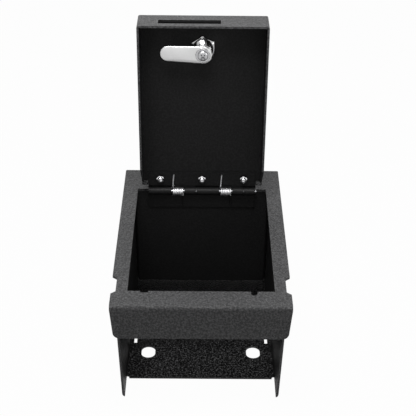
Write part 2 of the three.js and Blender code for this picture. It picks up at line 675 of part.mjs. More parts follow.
// Lid, drawn closed, with the pin's axis as its x axis
function lidPanel() {
  const outerSide = roundedOutline(
    [
      [-LID_HALF_WIDTH, LID_BOTTOM],
      [LID_HALF_WIDTH, LID_BOTTOM],
      [LID_HALF_WIDTH, LID_TOP],
      [-LID_HALF_WIDTH, LID_TOP],
    ],
    [0, 0, LID_BEND, LID_BEND],
  );
  const innerHalf = LID_HALF_WIDTH - LID_SHEET;
  const innerBend = LID_BEND - LID_SHEET;
  const innerSide = roundedOutline(
    [
      [-innerHalf, LID_BOTTOM - BEYOND],
      [innerHalf, LID_BOTTOM - BEYOND],
      [innerHalf, LID_INSIDE],
      [-innerHalf, LID_INSIDE],
    ],
    [0, 0, innerBend, innerBend],
  );
  const outerEnd = roundedOutline(
    [
      [-LID_REACH, LID_BOTTOM],
      [-LID_REAR, LID_BOTTOM],
      [-LID_REAR, LID_TOP],
      [-LID_REACH, LID_TOP],
    ],
    [0, 0, 0, LID_BEND],
  );
  const innerEnd = roundedOutline(
    [
      [-LID_REACH + LID_SHEET, LID_BOTTOM - BEYOND],
      [BEYOND, LID_BOTTOM - BEYOND],
      [BEYOND, LID_INSIDE],
      [-LID_REACH + LID_SHEET, LID_INSIDE],
    ],
    [0, 0, 0, innerBend],
  );
  const plan = roundedOutline(
    [
      [-LID_HALF_WIDTH - BEYOND, BEYOND],
      [-LID_HALF_WIDTH, -LID_REACH],
      [LID_HALF_WIDTH, -LID_REACH],
      [LID_HALF_WIDTH + BEYOND, BEYOND],
    ],
    [0, LID_CORNER, LID_CORNER, 0],
  );
  const wide = 2 * LID_HALF_WIDTH;
  const outside = prism(outerSide, "y", -LID_REACH - BEYOND, BEYOND)
    .intersect(prism(outerEnd, "x", -wide, wide))
    .intersect(prism(plan, "z", LID_BOTTOM - BEYOND, LID_TOP + BEYOND));
  const inside = prism(innerSide, "y", -LID_REACH - BEYOND, 2 * BEYOND).intersect(
    prism(innerEnd, "x", -wide, wide),
  );

  // The side flanges' rear ends are cut on a slant, down to a small lip at each rear corner
  const slant = prism(
    polygon([
      [-FLANGE_CUT_LONG, LID_BOTTOM],
      [-FLANGE_CUT_SHORT, LID_INSIDE],
      [BEYOND, LID_INSIDE],
      [BEYOND, LID_BOTTOM - BEYOND],
      [-FLANGE_CUT_LONG, LID_BOTTOM - BEYOND],
    ]),
    "x",
    -wide,
    wide,
  );
  const cornerEdge = -LID_REAR - REAR_CORNER_CUT;
  const lipStart = HINGE_HALF_WIDTH + LEAF_GAP;
  const lipEnd = LID_HALF_WIDTH - LID_TAPER * (LID_REACH + cornerEdge);
  const lipOutline = roundedOutline(
    [
      [lipStart, LID_INSIDE - REAR_LIP_DEPTH],
      [lipEnd, LID_INSIDE - REAR_LIP_DEPTH],
      [lipEnd, LID_INSIDE + LID_SHEET / 2],
      [lipStart, LID_INSIDE + LID_SHEET / 2],
    ],
    [LID_SHEET, LID_SHEET, 0, 0],
  );
  const rearLip = prism(lipOutline, "y", cornerEdge - LID_SHEET, cornerEdge);
  const rearCut = box(
    lipStart,
    cornerEdge,
    LID_INSIDE - BEYOND,
    LID_HALF_WIDTH + BEYOND,
    BEYOND,
    LID_TOP + BEYOND,
  );

  const lockHole = lockBody(LOCK_RADIUS + SLIP, LOCK_FLATS + 2 * SLIP, LID_BOTTOM, LID_TOP + BEYOND);
  const camSlot = box(
    CAM_SLOT_LEFT,
    -LID_REACH - BEYOND,
    CAM_MIDDLE - CAM_SLOT_HEIGHT / 2,
    CAM_SLOT_RIGHT,
    -LID_REACH + LID_SHEET + BEYOND,
    CAM_MIDDLE + CAM_SLOT_HEIGHT / 2,
  );
  const lid = narrowed(outside.subtract(inside).subtract(slant))
    .subtract(rearCut)
    .subtract(mirrored(rearCut))
    .add(rearLip)
    .add(mirrored(rearLip))
    .subtract(lockHole)
    .subtract(camSlot);
  return fastenerPlaces().reduce(
    (solid, x) =>
      solid.subtract(
        cylinder(BOLT_RADIUS + SLIP, LID_INSIDE - BEYOND, LID_TOP + BEYOND, SMALL_ROUND_STEPS).translate([
          x,
          -FASTENER_OFFSET,
          0,
        ]),
      ),
    lid,
  );
}

// The lid narrows towards its hinge.
function narrowed(solid) {
  return solid.warp((vertex) => {
    vertex[0] *= 1 - (LID_TAPER * (vertex[1] + LID_REACH)) / LID_HALF_WIDTH;
  });
}

function fastenerPlaces() {
  return [-FASTENER_PITCH, 0, FASTENER_PITCH];
}

// A screw or bolt along z: a shank with a chamfered end, and a domed head whose underside is at z = 0
function screw(radius, length, headRadius, headHeight) {
  const rim = headHeight * HEAD_RIM_SHARE;
  const profile = [
    [0, -length],
    [radius - SCREW_CHAMFER, -length],
    [radius, -length + SCREW_CHAMFER],
    [radius, 0],
    [headRadius, 0],
  ];
  for (let step = 0; step < DOME_STEPS; step++) {
    const angle = (step / DOME_STEPS) * (Math.PI / 2);
    profile.push([headRadius * Math.cos(angle), rim + (headHeight - rim) * Math.sin(angle)]);
  }
  profile.push([0, headHeight]);
  return turned(profile, SMALL_ROUND_STEPS);
}

// A bolt through the lid and its leaf: the head outside, the end just past the nut
function hingeBolt() {
  const seat = LID_TOP + SEAT;
  const end = LEAF_FACE - SEAT - NUT_HEIGHT - BOLT_END;
  return screw(BOLT_RADIUS, seat - end, BOLT_HEAD_RADIUS, BOLT_HEAD_HEIGHT).translate([0, 0, seat]);
}

// A hexagon nut with its corners turned off on the open face
function hexNut(acrossFlats, height, bore, top, pointing) {
  const corner = acrossFlats / 2 / Math.cos(Math.PI / HEX_SIDES);
  const flat = acrossFlats / 2;
  const chamfered = turned([
    [0, top - height],
    [flat * NUT_FACE_SHARE, top - height],
    [corner, top - height + (corner - flat)],
    [corner, top],
    [0, top],
  ]);
  return prism(hexagon(acrossFlats, pointing), "z", top - height, top)
    .intersect(chamfered)
    .subtract(cylinder(bore, top - height - BEYOND, top + BEYOND));
}

// Lock. The body's section is a circle with two flats.
function lockBody(radius, acrossFlats, from, to) {
  return cylinder(radius, from, to)
    .intersect(box(-acrossFlats / 2, -2 * radius, from, acrossFlats / 2, 2 * radius, to))
    .translate([0, -LOCK_OFFSET, 0]);
}

function lockHousing() {
  const top = LID_TOP + SEAT;
  const head = turned([
    [0, top],
    [LOCK_HEAD_RADIUS, top],
    [LOCK_HEAD_RADIUS, top + LOCK_HEAD_HEIGHT - LOCK_HEAD_BEVEL],
    [LOCK_HEAD_RADIUS - LOCK_HEAD_BEVEL, top + LOCK_HEAD_HEIGHT],
    [0, top + LOCK_HEAD_HEIGHT],
  ]).translate([0, -LOCK_OFFSET, 0]);
  const bore = cylinder(PLUG_RADIUS + RUNNING, LID_BOTTOM, top + LOCK_HEAD_HEIGHT + BEYOND);
  return lockBody(LOCK_RADIUS, LOCK_FLATS, CAM_TOP + CAM_GAP, top + LOCK_HEAD_HEIGHT / 2)
    .add(head)
    .subtract(bore.translate([0, -LOCK_OFFSET, 0]));
}

function lockPlug() {
  const face = LID_TOP + SEAT + LOCK_HEAD_HEIGHT;
  const shoulder = CAM_TOP + CAM_GAP / 2;
  const end = CAM_BOTTOM + SEAT;
  const half = PLUG_SQUARE / 2;
  const keyway = box(
    -KEYWAY_WIDTH / 2,
    -KEYWAY_LENGTH / 2,
    face - KEYWAY_DEPTH,
    KEYWAY_WIDTH / 2,
    KEYWAY_LENGTH / 2,
    face + BEYOND,
  );
  const holeEnd = camScrewSeat() + CAM_SCREW_LENGTH + CAM_SCREW_ROOM;
  const thread = cylinder(CAM_SCREW_RADIUS + SLIP, end - BEYOND, holeEnd, SMALL_ROUND_STEPS);
  return cylinder(PLUG_RADIUS, shoulder, face)
    .add(box(-half, -half, end, half, half, shoulder + JOINED))
    .subtract(keyway)
    .subtract(thread);
}

function lockCam() {
  const outline = new THREE.Shape();
  const span = CAM_REACH - CAM_TIP_RADIUS;
  const flare = Math.asin((CAM_HUB_RADIUS - CAM_TIP_RADIUS) / span);
  outline.absarc(0, 0, CAM_HUB_RADIUS, -Math.PI / 2 - flare, Math.PI / 2 + flare, false);
  outline.absarc(-span, 0, CAM_TIP_RADIUS, Math.PI / 2 + flare, (3 * Math.PI) / 2 - flare, false);
  const half = PLUG_SQUARE / 2 + SLIP;
  return prism(outline, "z", CAM_BOTTOM, CAM_TOP, ROUND_STEPS / 2).subtract(
    box(-half, -half, CAM_BOTTOM - BEYOND, half, half, CAM_TOP + BEYOND),
  );
}

function camWasher() {
  const top = CAM_BOTTOM - SEAT;
  return cylinder(WASHER_RADIUS, top - WASHER_SHEET, top).subtract(
    cylinder(CAM_SCREW_RADIUS + SLIP, top - BEYOND, top + BEYOND, SMALL_ROUND_STEPS),
  );
}

// Where the screw's head bears on the washer
function camScrewSeat() {
  return CAM_BOTTOM - SEAT - WASHER_SHEET - SEAT;
}

function camScrew() {
  const crown = CAM_SCREW_HEAD_HEIGHT;
  const arm = box(
    -CROSS_LENGTH / 2,
    -CROSS_WIDTH / 2,
    crown - CROSS_DEPTH,
    CROSS_LENGTH / 2,
    CROSS_WIDTH / 2,
    crown + BEYOND,
  );
  return screw(CAM_SCREW_RADIUS, CAM_SCREW_LENGTH, CAM_SCREW_HEAD_RADIUS, CAM_SCREW_HEAD_HEIGHT)
    .subtract(arm.rotate([0, 0, CROSS_TURN]))
    .subtract(arm.rotate([0, 0, -CROSS_TURN]))
    .rotate([180, 0, 0])
    .translate([0, 0, camScrewSeat()]);
}

// Finishes
const POWDER_COAT = { color: 0x1b1b1c, roughness: 0.62, metalness: 0.1 };
const LEAF_PAINT = { color: 0x202021, roughness: 0.5, metalness: 0.1 };
const PIN_STEEL = { color: 0x9a9a9c, roughness: 0.35, metalness: 1 };
const SPRING_ZINC = { color: 0xd8d8da, roughness: 0.25, metalness: 1 };
const NUT_ZINC = { color: 0xcfcfd2, roughness: 0.22, metalness: 1 };
const LOCK_CHROME = { color: 0xdadada, roughness: 0.12, metalness: 1 };
const CAM_STEEL = { color: 0xc4c4c6, roughness: 0.4, metalness: 1 };

function piece(name, shape, finish, parent) {
  const geometry = shape.isBufferGeometry ? shape : geometryOf(shape);
  const mesh = new THREE.Mesh(geometry, new THREE.MeshStandardMaterial(finish));
  mesh.name = name;
  parent.add(mesh);
  return mesh;
}

// Assembly. The safe's group has its zero at the mouth's front edge, on the rim's top face.
const consoleSafe = new THREE.Group();
const safe = new THREE.Group();
safe.position.set(0, -FLOOR_MIDDLE, BOX_DEPTH);
consoleSafe.add(safe);

piece("top_frame", topFrame(), POWDER_COAT, safe);
piece("body_shell", bodyShell(), POWDER_COAT, safe);
piece("back_wall", backWall(), POWDER_COAT, safe);
piece("lock_strike", lockStrike(), POWDER_COAT, safe);

const hinge = new THREE.Group();
hinge.position.y = PIN_Y;
safe.add(hinge);
piece("hinge_body_leaf", hingeLeaf("body", []).mirror([0, 0, 1]), LEAF_PAINT, hinge);
piece("hinge_pin", hingePin(), PIN_STEEL, hinge);
const springPlaces = hingeRow().filter(({ owner }) => owner === "spring");
["left", "right"].forEach((side, i) => {
  piece(`spring_${side}`, torsionSpring(springPlaces[i]), SPRING_ZINC, hinge);
});

const lid = new THREE.Group();
lid.position.y = PIN_Y;
lid.rotation.x = -OPEN_ANGLE;
safe.add(lid);
piece("lid_panel", lidPanel(), POWDER_COAT, lid);
const lidLeaf = hingeLeaf("lid", fastenerPlaces()).rotate([90, 0, 0]);
piece("hinge_lid_leaf", lidLeaf, LEAF_PAINT, lid);
const boltNut = hexNut(NUT_FLATS, NUT_HEIGHT, BOLT_RADIUS + SLIP, LEAF_FACE - SEAT, Math.PI / HEX_SIDES);
["left", "middle", "right"].forEach((side, i) => {
  const place = [fastenerPlaces()[i], -FASTENER_OFFSET, 0];
  piece(`hinge_bolt_${side}`, hingeBolt().translate(place), NUT_ZINC, lid);
  piece(`hinge_nut_${side}`, boltNut.translate(place), NUT_ZINC, lid);
});
piece("lock_housing", lockHousing(), LOCK_CHROME, lid);
const lockNut = hexNut(LOCK_NUT_FLATS, LOCK_NUT_HEIGHT, LOCK_RADIUS + SLIP, LID_INSIDE - SEAT, Math.PI / 2);
piece("lock_nut", lockNut.translate([0, -LOCK_OFFSET, 0]), LOCK_CHROME, lid);

const lock = new THREE.Group();
lock.position.y = -LOCK_OFFSET;
lock.rotation.z = CAM_REST_TILT;
lid.add(lock);
piece("lock_plug", lockPlug(), LOCK_CHROME, lock);
piece("lock_cam", lockCam(), CAM_STEEL, lock);
piece("cam_washer", camWasher(), CAM_STEEL, lock);
piece("cam_screw", camScrew(), NUT_ZINC, lock);

export default consoleSafe;
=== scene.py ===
# %% [markdown]
# # A console safe, finished around its CAD frame
# The safe drops into the storage bin of a vehicle's centre console. Its rim, shell, back wall and
# lid are bent from black powder-coated sheet steel. A long hinge with two torsion springs holds the
# lid open, and a cam lock hangs unlocked on the lid's inside.
# The CAD model already has every piece at its true size and place. Here each one gets the surface
# that a maker would give it: soft edges, wound wire, threads, plating and a textured coat.

# %% Load the frame
import json
import math

import bmesh
import bpy
from mathutils import Matrix, Vector


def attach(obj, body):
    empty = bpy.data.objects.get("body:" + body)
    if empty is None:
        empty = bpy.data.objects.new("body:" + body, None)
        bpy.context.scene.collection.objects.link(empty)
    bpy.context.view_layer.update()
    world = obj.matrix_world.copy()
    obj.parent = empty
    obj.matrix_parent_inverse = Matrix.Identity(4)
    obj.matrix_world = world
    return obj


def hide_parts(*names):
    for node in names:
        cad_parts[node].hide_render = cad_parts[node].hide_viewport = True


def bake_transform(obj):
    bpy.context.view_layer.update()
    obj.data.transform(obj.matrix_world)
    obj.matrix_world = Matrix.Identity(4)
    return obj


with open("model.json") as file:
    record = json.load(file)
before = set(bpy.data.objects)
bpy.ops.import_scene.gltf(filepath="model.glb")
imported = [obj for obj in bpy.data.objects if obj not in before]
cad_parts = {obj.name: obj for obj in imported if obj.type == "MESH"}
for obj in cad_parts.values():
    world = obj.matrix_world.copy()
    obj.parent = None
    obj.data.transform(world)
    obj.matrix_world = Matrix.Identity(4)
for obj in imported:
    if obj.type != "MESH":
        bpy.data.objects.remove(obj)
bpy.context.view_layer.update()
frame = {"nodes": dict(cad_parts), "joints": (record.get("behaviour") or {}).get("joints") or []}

# %% [markdown]
# ## Where the lid turns
# Everything on the lid is easiest to describe with the lid shut: x along the hinge pin, y towards
# the back and z up from the pin's middle. One matrix then swings it open about the pin. The lock's
# pieces get a second matrix, because the lock turns about an axis of its own.

# %% The two joints and their places
MM = 0.001
joints = {joint["name"]: joint for joint in frame["joints"]}
pin_middle = Vector(joints["lid_hinge"]["pos_m"])
lock_middle = Vector(joints["lock_turn"]["pos_m"])
OPEN_ANGLE = math.radians(92)
CAM_REST_TILT = math.radians(2)
lid_place = Matrix.Translation(pin_middle) @ Matrix.Rotation(-OPEN_ANGLE, 4, "X")
lock_offset = (lid_place.inverted() @ lock_middle).y
lock_place = lid_place @ Matrix.Translation((0, lock_offset, 0))
cam_place = lock_place @ Matrix.Rotation(CAM_REST_TILT, 4, "Z")
hinge_place = Matrix.Translation(pin_middle)
print("the pin is at", [round(c / MM, 1) for c in pin_middle], "mm")
print("the lock is", round(-lock_offset / MM, 1), "mm from the pin")

# %% [markdown]
# ## The camera
# The photograph was taken from in front and a little above, with a long lens. The camera's place,
# its tilt and its focal length were worked out from the straight edges of the mouth, rim and lid,
# whose sizes the CAD model gives. A lens of about 103 mm keeps the sides nearly parallel.

# %% Camera at the photograph's angle
CAMERA_PLACE = (-0.22, -991.07, 687.40)
LOOK_DOWN = 0.51030
LOOK_RIGHT = 0.0067
ROLL = -0.0108
FOCAL_PIXELS = 1191.9
PHOTO_WIDTH = 416
SENSOR_WIDTH = 36.0
HALF_PIXEL = 0.5 / PHOTO_WIDTH
NEAREST = 0.05
FARTHEST = 50

forward = Vector((
    math.sin(LOOK_RIGHT) * math.cos(LOOK_DOWN),
    math.cos(LOOK_RIGHT) * math.cos(LOOK_DOWN),
    -math.sin(LOOK_DOWN),
))
level_right = Vector((math.cos(LOOK_RIGHT), -math.sin(LOOK_RIGHT), 0))
level_down = forward.cross(level_right)
right = level_right * math.cos(ROLL) + level_down * math.sin(ROLL)
down = level_down * math.cos(ROLL) - level_right * math.sin(ROLL)
camera_data = bpy.data.cameras.new("photo_camera")
camera_data.sensor_width = SENSOR_WIDTH
camera_data.lens = SENSOR_WIDTH * FOCAL_PIXELS / PHOTO_WIDTH
camera_data.shift_x = -HALF_PIXEL
camera_data.shift_y = HALF_PIXEL
camera_data.clip_start = NEAREST
camera_data.clip_end = FARTHEST
camera = bpy.data.objects.new("photo_camera", camera_data)
bpy.context.scene.collection.objects.link(camera)
turn = Matrix((right, -down, -forward)).transposed().to_4x4()
camera.matrix_world = Matrix.Translation(Vector(CAMERA_PLACE) * MM) @ turn
bpy.context.scene.camera = camera
print("lens", round(camera_data.lens, 1), "mm, looking down", round(math.degrees(LOOK_DOWN), 1), "degrees")

# %% [markdown]
# ## Helpers for node materials
# Every finish below is a small graph of shader nodes. Three helpers keep the graphs short: one adds
# a node, sets its inputs and links what is linked, one starts a material with a Principled shader,
# and one joins an output to that shader.

# %% Start a material and add nodes to it
def add_node(tree, kind, settings=None, **inputs):
    """Adds a node. Inputs are numbers, colours or the output sockets of other nodes, and a name such
    as i1 stands for the input with that number."""
    node = tree.nodes.new(kind)
    for name, value in (settings or {}).items():
        setattr(node, name, value)
    for name, value in inputs.items():
        socket = node.inputs[int(name[1:])] if name[1:].isdigit() else node.inputs[name.replace("_", " ")]
        if isinstance(value, bpy.types.NodeSocket):
            tree.links.new(value, socket)
        else:
            socket.default_value = value
    return node


def start_material(name):
    """A material, its node tree, its Principled shader and the place in the object's own space."""
    material = bpy.data.materials.new(name)
    material.use_nodes = True
    tree = material.node_tree
    shader = tree.nodes["Principled BSDF"]
    place = add_node(tree, "ShaderNodeTexCoord").outputs["Object"]
    return material, tree, shader, place


def link(tree, output, shader, name):
    """Joins an output to the shader's input of that name."""
    tree.links.new(output, shader.inputs[name])


print("helpers for the finishes are ready")

# %% [markdown]
# ## The stage
# The safe stands on a plain white sheet of paper. To the camera, floor and world shine with a
# strength of about 1, so both read as white, but they light the safe only gently. A little of the
# floor stays a diffuse surface, because that is the part on which a shadow can fall. Reflections
# show the same white, which is what gives the apron its soft grey sheen.

# %% Floor and world
FLOOR_SIZE = 12.0
FLOOR_COLOUR = (0.35, 0.35, 0.35, 1)
PAPER_SHARE = 0.975
WORLD_LIGHT = 0.30


def seen_directly(tree):
    """1 for rays from the camera, in reflections and through glass, and 0 for rays that carry light."""
    rays = add_node(tree, "ShaderNodeLightPath").outputs
    first = add_node(tree, "ShaderNodeMath", {"operation": "MAXIMUM"},
                     i0=rays["Is Camera Ray"], i1=rays["Is Glossy Ray"]).outputs[0]
    return add_node(tree, "ShaderNodeMath", {"operation": "MAXIMUM"},
                    i0=first, i1=rays["Is Transmission Ray"]).outputs[0]


bpy.ops.mesh.primitive_plane_add(size=FLOOR_SIZE, location=(0, 0, 0))
floor = bpy.context.object
floor.name = "studio_floor"
floor_paint = bpy.data.materials.new("white_paper")
floor_paint.use_nodes = True
tree = floor_paint.node_tree
tree.nodes.clear()
matt = add_node(tree, "ShaderNodeBsdfDiffuse", Color=FLOOR_COLOUR).outputs[0]
glow = add_node(tree, "ShaderNodeEmission", Color=(1, 1, 1, 1), Strength=1.0).outputs[0]
share = add_node(tree, "ShaderNodeMath", {"operation": "MULTIPLY"}, i0=seen_directly(tree), i1=PAPER_SHARE)
paper = add_node(tree, "ShaderNodeMixShader", i0=share.outputs[0], i1=matt, i2=glow).outputs[0]
add_node(tree, "ShaderNodeOutputMaterial", Surface=paper)
floor.data.materials.append(floor_paint)

world = bpy.data.worlds.new("white_studio")
bpy.context.scene.world = world
world.use_nodes = True
tree = world.node_tree
tree.nodes.clear()
white = add_node(tree, "ShaderNodeBackground", Color=(1, 1, 1, 1), Strength=1.0).outputs[0]
gentle = add_node(tree, "ShaderNodeBackground", Color=(1, 1, 1, 1), Strength=WORLD_LIGHT).outputs[0]
sky = add_node(tree, "ShaderNodeMixShader", i0=seen_directly(tree), i1=gentle, i2=white).outputs[0]
add_node(tree, "ShaderNodeOutputWorld", Surface=sky)
bpy.context.scene.view_settings.view_transform = "Standard"
print("floor", FLOOR_SIZE, "m wide, world light", WORLD_LIGHT)

# %% [markdown]
# ## The lamps
# Black steel is lit with soft boxes: one overhead and a little in front, which draws the sheen on
# the rim and catches the top of each bump, one behind, which sets the lid off from the paper, and
# one at the side. A coat this dark shows little but its highlights, so what a lamp adds is mostly
# the sparkle of the bumps, and a smaller, brighter lamp gives a crisper one.

# %% Three soft boxes
def soft_box(name, place, target, size, watts):
    """An area lamp at a place, turned to face a target."""
    data = bpy.data.lights.new(name, "AREA")
    data.shape = "SQUARE"
    data.size = size
    data.energy = watts
    lamp = bpy.data.objects.new(name, data)
    bpy.context.scene.collection.objects.link(lamp)
    lamp.location = place
    lamp.rotation_euler = (Vector(target) - Vector(place)).to_track_quat("-Z", "Y").to_euler()


SAFE_MIDDLE = (0, 0, 0.12)
# Name, place, width in metres and watts
SOFT_BOXES = (
    ("rear_box", (-0.08, 0.50, 1.10), 0.5, 4),
    ("overhead_box", (-0.06, -0.30, 0.95), 0.4, 8.5),
    ("side_box", (1.3, -0.6, 0.75), 0.6, 4),
)
for name, place, size, watts in SOFT_BOXES:
    soft_box(name, place, SAFE_MIDDLE, size, watts)
    print(name, "is", size, "m wide and shines with", watts, "W")

# %% [markdown]
# ## The powder coat
# Textured powder is sprayed on dry and melts into a skin of tiny rounded bumps. Seen close, each
# bump has its own glint, so the coat looks speckled rather than flat black. The graph layers three
# patterns: pebbles nearly two millimetres wide, the creases between them, and a slow wander in
# thickness that the baking leaves behind. They drive the bump, the roughness and the tone. The tone
# is lighter on top of a pebble than between two, a painted highlight on the tops and painted shade
# in the creases.
# Inside the box and the lid less powder lands, because the charge keeps it out of deep corners. The
# coat is thinner, smoother and duller there, and its colour is painted far darker, as painted shade.
# The floor lies open in front and has a coarse coat, whose pebble tops are painted much lighter than
# its creases as a painted highlight, and towards the back its colour is painted darker, as painted
# shade. The leaves are dipped, not sprayed, and are nearly smooth. One graph with other numbers
# serves all four.

# %% Powder coat
PEBBLE = 1.8
PEBBLE_DETAIL = 2.5
PEBBLE_ROUGHNESS = 0.6
CELLS_PER_PEBBLE = 1.3
CELL_SMOOTHNESS = 0.4
CREASE = -0.5
WANDER_SCALE = 22.0
WANDER_DETAIL = 2.0
WANDER_LOW = 0.3
WANDER_HIGH = 0.7
COOLNESS = 1.02


def powder_coat(name, dark, light, relief, rough, gloss, spots=(0.42, 0.62), back_shade=None):
    """Textured powder coat. Relief is the height of a bump in millimetres, and spots are the noise
    levels between which the tone goes from dark to light, a painted highlight on the pebble tops.
    The last argument gives two places from front to back and the share of the tone that is left
    behind the second: painted shade that darkens the coat towards the back."""
    material, tree, shader, place = start_material(name)
    pebbles = add_node(tree, "ShaderNodeTexNoise", Vector=place, Scale=1 / (PEBBLE * MM),
                       Detail=PEBBLE_DETAIL, Roughness=PEBBLE_ROUGHNESS).outputs["Fac"]
    cells = add_node(tree, "ShaderNodeTexVoronoi", {"feature": "SMOOTH_F1"}, Vector=place,
                     Scale=CELLS_PER_PEBBLE / (PEBBLE * MM), Randomness=1.0,
                     Smoothness=CELL_SMOOTHNESS).outputs["Distance"]
    wander = add_node(tree, "ShaderNodeTexNoise", Vector=place, Scale=WANDER_SCALE,
                      Detail=WANDER_DETAIL).outputs["Fac"]
    height = add_node(tree, "ShaderNodeMath", {"operation": "MULTIPLY_ADD"},
                      i0=cells, i1=CREASE, i2=pebbles)
    bump = add_node(tree, "ShaderNodeBump", Strength=1.0, Distance=relief * MM, Height=height.outputs[0])
    link(tree, bump.outputs[0], shader, "Normal")
    # painted highlight and shade: the tone is lighter on top of each pebble and darker between pebbles
    shade = add_node(tree, "ShaderNodeValToRGB", Fac=pebbles)
    for element, level, tone in zip(shade.color_ramp.elements, spots, (dark, light)):
        element.position = level
        element.color = (tone, tone, tone * COOLNESS, 1)
    tint = shade.outputs[0]
    # painted shade: the tone is scaled down from front to back, to the given share behind the second place
    if back_shade:
        depth = add_node(tree, "ShaderNodeSeparateXYZ", Vector=place).outputs["Y"]
        left = add_node(tree, "ShaderNodeMapRange", Value=depth, From_Min=back_shade[0], From_Max=back_shade[1],
                        To_Min=1.0, To_Max=back_shade[2]).outputs[0]
        tint = add_node(tree, "ShaderNodeVectorMath", {"operation": "SCALE"},
                        i0=tint, Scale=left).outputs[0]
    link(tree, tint, shader, "Base Color")
    sheen = add_node(tree, "ShaderNodeMapRange", Value=wander, From_Min=WANDER_LOW,
                     From_Max=WANDER_HIGH, To_Min=rough[0], To_Max=rough[1])
    link(tree, sheen.outputs[0], shader, "Roughness")
    shader.inputs["Specular IOR Level"].default_value = gloss
    return material


coat = powder_coat("black_powder_coat", dark=0.029, light=0.069, relief=0.7,
                   rough=(0.36, 0.46), gloss=0.11)
# painted shade: the inside faces of box and lid take this much darker copy of the coat
inner_shaded_coat = powder_coat("inner_painted_shade_coat", dark=0.005, light=0.009, relief=0.12,
                         rough=(0.5, 0.62), gloss=0.14)
# painted light on the floor: very bright pebble tops, and painted shade darkening it towards the back
floor_painted_light_coat = powder_coat("floor_coat_with_painted_light", dark=0.002, light=0.095, relief=1.4,
                         rough=(0.3, 0.42), gloss=0.08, spots=(0.5, 0.66), back_shade=(-0.09, 0.01, 0.2))
leaf_coat = powder_coat("smooth_black_coat", dark=0.004, light=0.008, relief=0.08,
                        rough=(0.44, 0.54), gloss=0.13)
print("coats:", coat.name, inner_shaded_coat.name, floor_painted_light_coat.name, leaf_coat.name)

# %% [markdown]
# ## Bare and plated metal
# The springs are drawn wire, bolts and lock are plated bright, screw and washer have a greyer plate,
# and the cam is stamped from sheet and tumbled, which leaves a pale, dull one. The hinge's nuts get
# a nearly black plate, a painted dark reflection of the shaded box and lid, and the faces of their
# chamfers, which are turned last, get the bright plate as a painted highlight. One function makes
# them all: a tone that drifts between two greys, a spread of roughness and a trace of fine scratching.

# %% Plated metal
WIDE_CLOUDS = 90.0
SMALL_CLOUDS = 240.0
WIRE_CLOUDS = 400.0
CLOUD_DETAIL = 4.0
CLOUD_ROUGHNESS = 0.6
TONE_SPAN = (0.3, 0.7)
SHEEN_SPAN = (0.25, 0.75)
SCRATCH_SCALE = 2600.0
SCRATCH_DETAIL = 2.0
SCRATCH_STRENGTH = 0.5


def plated(name, dark, light, rough, cloud=WIDE_CLOUDS, scratch=0.012):
    """A metal whose tone and roughness drift a little, with fine wear in its bump. Scratch is the
    wear's depth in millimetres."""
    material, tree, shader, place = start_material(name)
    clouds = add_node(tree, "ShaderNodeTexNoise", Vector=place, Scale=cloud, Detail=CLOUD_DETAIL,
                      Roughness=CLOUD_ROUGHNESS).outputs["Fac"]
    fine = add_node(tree, "ShaderNodeTexNoise", Vector=place, Scale=SCRATCH_SCALE,
                    Detail=SCRATCH_DETAIL).outputs["Fac"]
    tone = add_node(tree, "ShaderNodeValToRGB", Fac=clouds)
    for element, level, grey in zip(tone.color_ramp.elements, TONE_SPAN, (dark, light)):
        element.position = level
        element.color = (*grey, 1)
    link(tree, tone.outputs[0], shader, "Base Color")
    sheen = add_node(tree, "ShaderNodeMapRange", Value=clouds, From_Min=SHEEN_SPAN[0],
                     From_Max=SHEEN_SPAN[1], To_Min=rough[0], To_Max=rough[1])
    link(tree, sheen.outputs[0], shader, "Roughness")
    bump = add_node(tree, "ShaderNodeBump", Strength=SCRATCH_STRENGTH, Distance=scratch * MM,
                    Height=fine)
    link(tree, bump.outputs[0], shader, "Normal")
    shader.inputs["Metallic"].default_value = 1.0
    return material


spring_wire = plated("bright_spring_wire", dark=(0.62, 0.62, 0.63), light=(0.80, 0.80, 0.81),
                     rough=(0.28, 0.38), cloud=WIRE_CLOUDS)
bolt_plate = plated("bright_zinc_plate", dark=(0.52, 0.52, 0.54), light=(0.76, 0.76, 0.77),
                    rough=(0.14, 0.24), cloud=SMALL_CLOUDS)
# painted dark reflection: the hinge nuts' plate is nearly black
nut_painted_dark_reflection = plated("zinc_painted_dark_reflection", dark=(0.035, 0.035, 0.036), light=(0.08, 0.08, 0.082),
                   rough=(0.14, 0.22), cloud=SMALL_CLOUDS)
lock_chrome = plated("bright_chrome", dark=(0.34, 0.34, 0.35), light=(0.50, 0.50, 0.50),
                     rough=(0.08, 0.16))
cam_plate = plated("dull_zinc_plate", dark=(0.63, 0.63, 0.63), light=(0.67, 0.67, 0.67),
                   rough=(0.36, 0.42), scratch=0.02)
washer_plate = plated("grey_zinc_plate", dark=(0.40, 0.40, 0.41), light=(0.50, 0.50, 0.51),
                      rough=(0.22, 0.32), cloud=SMALL_CLOUDS)
pin_steel = plated("drawn_steel", dark=(0.20, 0.20, 0.21), light=(0.34, 0.34, 0.35),
                   rough=(0.25, 0.4))
METALS = (spring_wire, bolt_plate, nut_painted_dark_reflection, lock_chrome, cam_plate, washer_plate, pin_steel)
print("metals:", [metal.name for metal in METALS])

# %% [markdown]
# ## Soft edges on sheet steel
# A laser leaves a sharp edge, but the coat melts round it, so the edges of the real sheets are
# rounded by about half a millimetre. Two ways would give that: modelling every sheet again with its
# roundings, or taking the CAD sheet's own mesh, merging its coplanar facets and bevelling what is
# left. The second keeps each cut exactly where the CAD has it, so that is the way used here.

# %% Pieces and their edges
FLAT_ANGLE = math.radians(0.6)
EDGE_ANGLE = math.radians(28)
FLAT_WEIGHT = 60
BEVEL_STEPS = 3
CAD_MERGE = 0.002 * MM


def dress(piece, body, slot, *nodes):
    """Lets a piece ride on a body and hides the CAD nodes that it stands for."""
    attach(piece, body)
    if nodes:
        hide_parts(*nodes)
    return piece


